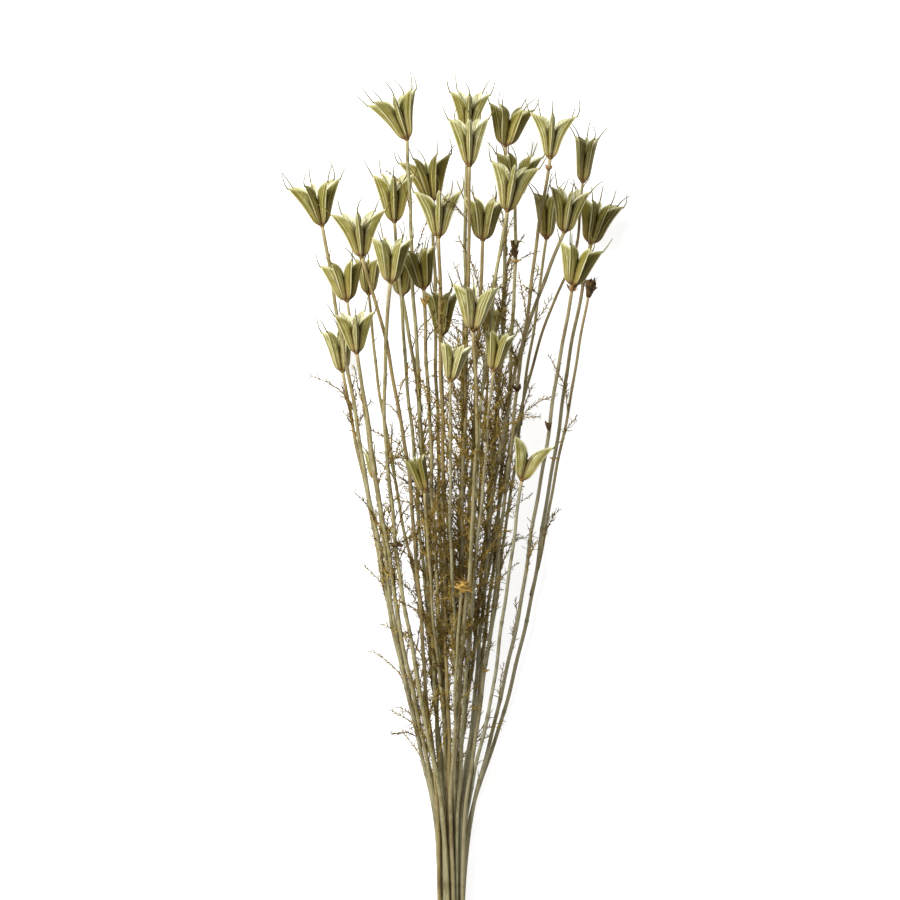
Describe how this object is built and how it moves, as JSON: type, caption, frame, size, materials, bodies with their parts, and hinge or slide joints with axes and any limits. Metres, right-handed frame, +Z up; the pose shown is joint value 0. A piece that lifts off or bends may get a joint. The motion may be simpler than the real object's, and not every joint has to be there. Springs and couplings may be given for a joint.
{
  "type": "dried nigella seed pod bunch",
  "caption": "Tied bunch of dried nigella stems fanning out to flared, horned seed pods, with thread leaves along the stems, lying on its side for dry arrangements.",
  "frame": {"origin": "underside of the tie round the foot of the bunch, on the surface that the bunch lies on", "axes": "+Y along the bunch from the cut ends to the seed pods, +X to its right seen from above, +Z up"},
  "size_m": [0.209, 0.5688, 0.1219],
  "materials": {
    "stem": "dry, matt",
    "pod": "dry, satin",
    "withered_bud": "dry, matt",
    "withered_flower": "dry, matt",
    "tie": "rough twine"
  },
  "bodies": {
    "root": {"stem_01": "stem", "stem_02": "stem", "stem_03": "stem", "stem_04": "stem", "stem_05": "stem", "stem_06": "stem", "stem_07": "stem", "stem_08": "stem", "stem_09": "stem", "stem_10": "stem", "stem_11": "stem", "stem_12": "stem", "stem_13": "stem", "stem_14": "stem", "stem_15": "stem", "stem_16": "stem", "stem_17": "stem", "stem_18": "stem", "stem_19": "stem", "stem_20": "stem", "stem_21": "stem", "stem_22": "stem", "stem_23": "stem", "pod_01": "pod", "pod_02": "pod", "pod_03": "pod", "pod_04": "pod", "pod_05": "pod", "pod_06": "pod", "pod_07": "pod", "pod_08": "pod", "pod_09": "pod", "pod_10": "pod", "pod_11": "pod", "pod_12": "pod", "pod_13": "pod", "pod_14": "pod", "pod_15": "pod", "pod_16": "pod", "pod_17": "pod", "pod_18": "pod", "pod_19": "pod", "pod_20": "pod", "pod_21": "pod", "pod_22": "pod", "pod_23": "pod", "pod_24": "pod", "pod_25": "pod", "pod_26": "pod", "pod_27": "pod", "pod_28": "pod", "pod_29": "pod", "pod_30": "pod", "pod_31": "pod", "pod_32": "pod", "pod_33": "pod", "withered_bud": "withered_bud", "withered_flower": "withered_flower", "tie": "tie"}
  },
  "joints": []
}
